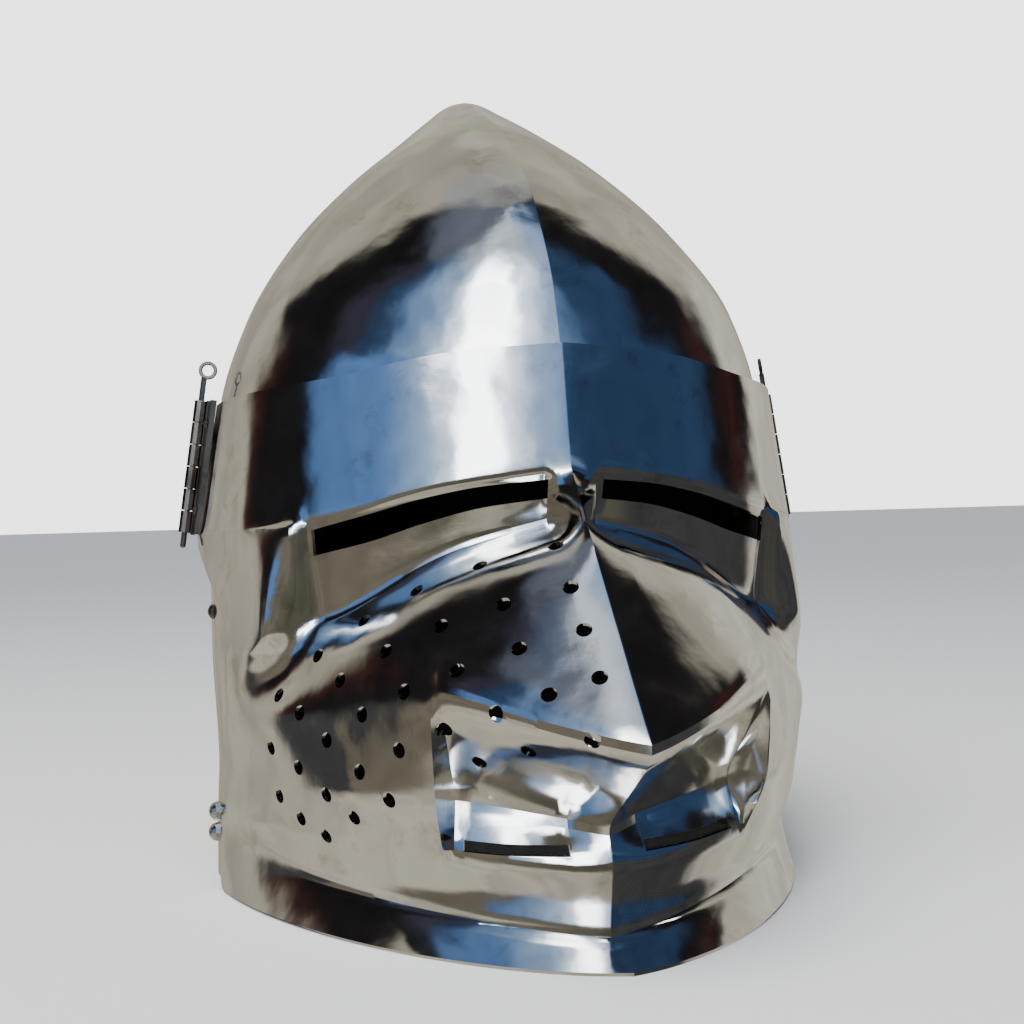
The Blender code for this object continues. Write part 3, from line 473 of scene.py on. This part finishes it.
def add_loop_prism(bm, inner, outer):
    """A closed body between two loops of the same number of points."""
    ring_a = [bm.verts.new(p) for p in inner]
    ring_b = [bm.verts.new(p) for p in outer]
    count = len(inner)
    for i in range(count):
        j = (i + 1) % count
        bm.faces.new((ring_a[i], ring_a[j], ring_b[j], ring_b[i]))
    bm.faces.new(ring_a[::-1])
    bm.faces.new(ring_b)


def add_slit(bm, side, span, table):
    table = np.array(table)
    turns = np.linspace(span[0], span[1], SLIT_STEPS)
    tops = smooth_curve(turns, table[:, 0], table[:, 1])
    feet = smooth_curve(turns, table[:, 0], table[:, 2])
    loop = list(zip(turns, tops)) + list(zip(turns[::-1], feet[::-1]))
    near, far = [], []
    for turn, height in loop:
        radius = surface_radius(turn, height)
        near.append(wrap(radius - SLIT_REACH, side * turn, height))
        far.append(wrap(radius + SLIT_REACH, side * turn, height))
    add_loop_prism(bm, near, far)


def surface_frame(degrees, height):
    """Point on the wearer's right of the visor, and its outward normal."""
    beside, over = degrees + NORMAL_TURN, height + NORMAL_RISE
    here = wrap(surface_radius(degrees, height), -degrees, height)
    along = wrap(surface_radius(beside, height), -beside, height)
    above = wrap(surface_radius(degrees, over), -degrees, over)
    normal = (along - here).cross(above - here).normalized()
    if normal.dot(Vector((here.x, here.y - AXIS_Y, 0))) < 0:
        normal.negate()
    return here, normal


def add_breath(bm, degrees, height):
    centre, normal = surface_frame(degrees, height)
    turn = normal.to_track_quat("Z", "Y").to_matrix().to_4x4()
    bmesh.ops.create_cone(
        bm, cap_ends=True, segments=BREATH_SIDES, radius1=BREATH_RADIUS,
        radius2=BREATH_RADIUS, depth=BREATH_DEPTH, matrix=Matrix.Translation(centre) @ turn)


def breath_places():
    places = []
    for count, a_0, z_0, a_1, z_1, a_2, z_2 in BREATH_ROWS:
        for i in range(count):
            t = i / (count - 1)
            weights = ((1 - t) * (1 - 2 * t), 4 * t * (1 - t), t * (2 * t - 1))
            places.append((np.dot(weights, (a_0, a_1, a_2)), np.dot(weights, (z_0, z_1, z_2))))
    return places


def make_visor(mat, inside):
    degrees = visor_angles()
    rows = visor_rows(degrees, ROWS_BETWEEN)
    grid = [[wrap(r, a, z) for r, z, a in row] for row in rows]
    visor = grid_object("visor_plate", grid, False, mat)
    add_walls(visor, inside)
    cut(visor, floor_cutter("visor_floor", mat))
    slits = bmesh.new()
    for side in (-1, 1):
        add_slit(slits, side, EYE_SPANS[side], EYE_HEIGHTS)
        add_slit(slits, side, MOUTH_SPANS[side], MOUTH_HEIGHTS)
    cut(visor, object_from_bmesh("slit_cutter", slits, mat))
    breaths = bmesh.new()
    for degrees_here, height in breath_places():
        add_breath(breaths, degrees_here, height)
    cut(visor, object_from_bmesh("breath_cutter", breaths, mat))
    return visor


def skull_sizes(height):
    """Centre, half width, front and back of the skull at a height."""
    table = np.array(SKULL)
    return [float(smooth_curve(height, table[:, 0], table[:, i])) for i in (1, 2, 3, 4)]


def skull_section(height, degrees):
    """Points of the skull's outer surface round one height."""
    centre, half_width, front, back = skull_sizes(height)
    angle = np.radians(degrees)
    ahead = np.cos(angle) > 0
    keel = np.where(ahead, SKULL_KEEL, 0.0)
    reach = np.where(ahead, centre - front, back - centre)
    radius = plan_radius(angle, reach, half_width, SKULL_POWER, keel)
    return [Vector((x, y, height)) for x, y in
            zip(radius * np.sin(angle), centre - radius * np.cos(angle))]


def skull_heights(rows):
    """Heights from the point down past the rim, closer together near the point."""
    run = SKULL_HEIGHT + RIM_SPARE
    return [SKULL_HEIGHT - run * (i / rows) ** SKULL_CROWDING for i in range(rows + 1)]


def make_skull(mat, inside):
    even = np.linspace(0, 360, SKULL_COLUMNS, endpoint=False)
    degrees = np.unique(np.concatenate((even, KEEL_COLUMNS)))
    grid = [skull_section(z, degrees) for z in skull_heights(SKULL_ROWS)]
    skull = grid_object("skull_plate", grid, True, mat)
    bm = bmesh.new()
    bm.from_mesh(skull.data)
    tip = [v for v in bm.verts if v.co.z > SKULL_HEIGHT - TIP_DEPTH]
    bmesh.ops.pointmerge(bm, verts=tip, merge_co=Vector((0, SKULL[-1][1], SKULL_HEIGHT)))
    bm.to_mesh(skull.data)
    bm.free()
    add_walls(skull, inside)
    cut(skull, floor_cutter("skull_floor", mat))
    cut(skull, face_cutter(mat))
    cut(skull, pivot_hole("pivot_hole", mat))
    return skull


def floor_cutter(name, mat):
    """Trims a plate flat at z = 0."""
    bm = bmesh.new()
    box(bm, (-CUT_REACH, -CUT_REACH, CUT_BELOW), (CUT_REACH, CUT_REACH, 0.0), Matrix())
    return object_from_bmesh(name, bm, mat)


def face_cutter(mat):
    arch = []
    for i in range(FACE_STEPS + 1):
        angle = math.pi * i / FACE_STEPS
        c, s = math.cos(angle), math.sin(angle)
        arch.append((FACE_HALF_WIDTH * math.copysign(abs(c) ** (2 / FACE_POWER), c),
                     FACE_FOOT + FACE_RISE * abs(s) ** (2 / FACE_POWER)))
    outline = [(FACE_HALF_WIDTH, CUT_BELOW)] + arch + [(-FACE_HALF_WIDTH, CUT_BELOW)]
    bm = bmesh.new()
    add_loop_prism(bm, [Vector((x, -CUT_REACH, z)) for x, z in outline],
                   [Vector((x, AXIS_Y, z)) for x, z in outline])
    return object_from_bmesh("face_cutter", bm, mat)


def box(bm, low, high, place):
    corners = [Vector((x, y, z)) for z in (low[2], high[2]) for x, y in
               ((low[0], low[1]), (high[0], low[1]), (high[0], high[1]), (low[0], high[1]))]
    corners = [place @ c for c in corners]
    add_loop_prism(bm, corners[:4], corners[4:])


def pivot_hole(name, mat):
    bm = bmesh.new()
    turn = Matrix.Rotation(math.pi / 2, 4, "Y")
    bmesh.ops.create_cone(
        bm, cap_ends=True, segments=HOLE_SIDES, radius1=PIVOT_HOLE_RADIUS, radius2=PIVOT_HOLE_RADIUS,
        depth=PIVOT_HOLE_DEPTH, matrix=Matrix.Translation((0, PIVOT_Y, PIVOT_Z)) @ turn)
    return object_from_bmesh(name, bm, mat)


def bake(made):
    """Apply the cuts, so that the piece is one plain mesh."""
    bpy.context.view_layer.update()
    graph = bpy.context.evaluated_depsgraph_get()
    mesh = bpy.data.meshes.new_from_object(made.evaluated_get(graph))
    made.modifiers.clear()
    made.data = mesh
    for tool in list(made.children):
        bpy.data.objects.remove(tool, do_unlink=True)
    mesh.shade_smooth()
    mesh.set_sharp_from_angle(angle=math.radians(SHARP_ANGLE))
    return made


class Nodes:
    """A short way to add and join shader nodes."""

    def __init__(self, tree):
        self.tree = tree

    def add(self, kind, inputs=None, **settings):
        node = self.tree.nodes.new(kind)
        for key, value in settings.items():
            setattr(node, key, value)
        for key, value in (inputs or {}).items():
            if isinstance(value, bpy.types.NodeSocket):
                self.tree.links.new(value, node.inputs[key])
            else:
                node.inputs[key].default_value = value
        return node

    def noise(self, place, scale, detail, roughness, distortion):
        node = self.add("ShaderNodeTexNoise", {"Vector": place, "Scale": scale, "Detail": detail,
                                               "Roughness": roughness, "Distortion": distortion})
        return node.outputs["Fac"]

    def stretch(self, place, turn, scale):
        node = self.add("ShaderNodeMapping", {"Vector": place, "Rotation": turn, "Scale": scale})
        return node.outputs["Vector"]

    def ramp(self, value, low, high, to_low=0.0, to_high=1.0, smooth=True):
        node = self.add("ShaderNodeMapRange", {"Value": value, "From Min": low, "From Max": high,
                                               "To Min": to_low, "To Max": to_high},
                        interpolation_type="SMOOTHSTEP" if smooth else "LINEAR")
        return node.outputs["Result"]

    def maths(self, operation, a, b=0.0):
        return self.add("ShaderNodeMath", {0: a, 1: b}, operation=operation).outputs[0]

    def mix(self, amount, a, b):
        node = self.add("ShaderNodeMix", data_type="RGBA")
        for index, value in ((0, amount), (6, a), (7, b)):
            if isinstance(value, bpy.types.NodeSocket):
                self.tree.links.new(value, node.inputs[index])
            else:
                node.inputs[index].default_value = value
        return node.outputs[2]

    def bump(self, height, strength, distance, normal=None):
        inputs = {"Height": height, "Strength": strength, "Distance": distance}
        if normal is not None:
            inputs["Normal"] = normal
        return self.add("ShaderNodeBump", inputs).outputs["Normal"]


def steel(name, colour, dull, roughness, waves, scratches, stains):
    """Steel with hammer waves, polishing scratches in two ways and darker stains."""
    made = bpy.data.materials.new(name)
    made.use_nodes = True
    shader = made.node_tree.nodes["Principled BSDF"]
    shader.inputs["Metallic"].default_value = 1.0
    n = Nodes(made.node_tree)
    place = n.add("ShaderNodeTexCoord").outputs["Object"]
    normal = n.bump(n.noise(place, *WAVE_NOISE), waves, WAVE_DEPTH)
    normal = n.bump(n.noise(place, *FINE_WAVE_NOISE), waves, FINE_WAVE_DEPTH, normal)
    for turn in SCRATCH_TURNS:
        line = n.noise(n.stretch(place, turn, SCRATCH_STRETCH), *SCRATCH_NOISE)
        normal = n.bump(line, scratches, SCRATCH_DEPTH, normal)
    cloud = n.noise(place, *CLOUD_NOISE)
    marks = n.ramp(n.noise(place, *STAIN_NOISE), *STAIN_SPAN)
    marks = n.maths("MULTIPLY", marks, stains)
    tree = made.node_tree
    tree.links.new(n.mix(marks, (*colour, 1), (*dull, 1)), shader.inputs["Base Color"])
    tree.links.new(n.ramp(cloud, *CLOUD_SPAN, *roughness), shader.inputs["Roughness"])
    tree.links.new(normal, shader.inputs["Normal"])
    return made


def colour_band(n, place, stops):
    """Colours along 0 to 1, from (place in degrees, colour) stops between -180 and 180."""
    node = n.add("ShaderNodeValToRGB", {"Fac": place})
    band = node.color_ramp
    band.interpolation = "EASE"
    while len(band.elements) < len(stops):
        band.elements.new(0.5)
    for element, (degrees, colour) in zip(band.elements, stops):
        element.position = (degrees + HALF_TURN) / (2 * HALF_TURN)
        element.color = (*colour, 1.0)
    return node.outputs["Color"]


def make_world():
    """A plain pale room for the camera, and the yard that the polished steel reflects."""
    world = bpy.data.worlds.new("room")
    bpy.context.scene.world = world
    world.use_nodes = True
    tree = world.node_tree
    tree.nodes.clear()
    n = Nodes(tree)
    look = n.add("ShaderNodeTexCoord").outputs["Generated"]
    look = n.add("ShaderNodeVectorMath", {0: look}, operation="NORMALIZE").outputs[0]
    axes = n.add("ShaderNodeSeparateXYZ", {0: look}).outputs
    ahead = n.maths("MULTIPLY", axes["Y"], -1.0)
    turn = n.maths("ARCTAN2", axes["X"], ahead)
    shift = n.ramp(n.noise(look, *EDGE_NOISE), 0.0, 1.0, -EDGE_RAGGED, EDGE_RAGGED, False)
    place = n.ramp(n.maths("ADD", turn, shift), -math.pi, math.pi, 0.0, 1.0, False)
    height = n.maths("ADD", axes["Z"], shift)
    colour = colour_band(n, place, NEAR_STOPS)
    for edge, stops in ((NEAR_EDGE, FAR_STOPS), (GROUND_EDGE, SKY_STOPS),
                        (UPPER_EDGE, UPPER_STOPS), (HIGH_EDGE, HIGH_STOPS)):
        colour = n.mix(n.ramp(height, *edge), colour, colour_band(n, place, stops))
    mottle = n.ramp(n.noise(look, *MOTTLE_NOISE), *MOTTLE_SPAN, 1.0 - MOTTLE, 1.0 + MOTTLE)
    mirrored = n.add("ShaderNodeBackground", {"Color": colour, "Strength": mottle}).outputs[0]
    plain = n.add("ShaderNodeBackground", {"Color": BACKDROP, "Strength": 1.0}).outputs[0]
    seen = n.add("ShaderNodeLightPath").outputs["Is Camera Ray"]
    both = n.add("ShaderNodeMixShader", {0: seen, 1: mirrored, 2: plain}).outputs[0]
    out = n.add("ShaderNodeOutputWorld")
    tree.links.new(both, out.inputs["Surface"])


def make_floor():
    """A plain pale floor, which the steel doesn't mirror: it mirrors the yard's ground."""
    mesh = bpy.data.meshes.new("floor")
    edge = FLOOR_SIZE / 2
    mesh.from_pydata([(-edge, -edge, 0), (edge, -edge, 0), (edge, edge, 0), (-edge, edge, 0)], [],
                     [(0, 1, 2, 3)])
    floor = bpy.data.objects.new("floor", mesh)
    bpy.context.scene.collection.objects.link(floor)
    paint = bpy.data.materials.new("floor_paint")
    paint.use_nodes = True
    shader = paint.node_tree.nodes["Principled BSDF"]
    shader.inputs["Base Color"].default_value = FLOOR_COLOUR
    shader.inputs["Roughness"].default_value = FLOOR_ROUGHNESS
    shader.inputs["Specular IOR Level"].default_value = FLOOR_GLOSS
    mesh.materials.append(paint)
    floor.visible_glossy = False


def make_lamp(name, place, aim, size, power, colour):
    data = bpy.data.lights.new(name, "AREA")
    data.shape = "DISK"
    data.size = size
    data.energy = power
    data.color = colour
    lamp = bpy.data.objects.new(name, data)
    lamp.location = place
    lamp.rotation_euler = (Vector(aim) - Vector(place)).to_track_quat("-Z", "Y").to_euler()
    lamp.visible_glossy = False
    bpy.context.scene.collection.objects.link(lamp)


def make_camera():
    data = bpy.data.cameras.new("camera")
    data.sensor_width = SENSOR
    data.lens = FOCAL_PIXELS * SENSOR / IMAGE
    data.clip_start = CLIP_START
    camera = bpy.data.objects.new("camera", data)
    ahead, up = Vector(CAMERA_AHEAD), Vector(CAMERA_UP)
    turn = Matrix((ahead.cross(up), up, -ahead)).transposed().to_4x4()
    camera.matrix_world = Matrix.Translation(CAMERA_PLACE) @ turn
    bpy.context.scene.collection.objects.link(camera)
    bpy.context.scene.camera = camera


def cover(made, node, body):
    """Let a piece stand for a CAD node and move with its body."""
    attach(made, body)
    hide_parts(node)


def main():
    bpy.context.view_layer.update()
    steels = {key: steel(*finish) for key, finish in FINISHES.items()}
    skull = bake(make_skull(steels["plate"], steels["inside"]))
    cover(skull, "skull", "helmet")
    visor = bake(make_visor(steels["plate"], steels["inside"]))
    cover(visor, "visor", "visor_set")
    for name, node in frame["nodes"].items():
        paint = steels["bright" if name.startswith("cheek_stud") else "dark"]
        for slot in node.material_slots:
            slot.material = paint
    make_world()
    make_floor()
    for lamp in LAMPS:
        make_lamp(*lamp)
    make_camera()


main()
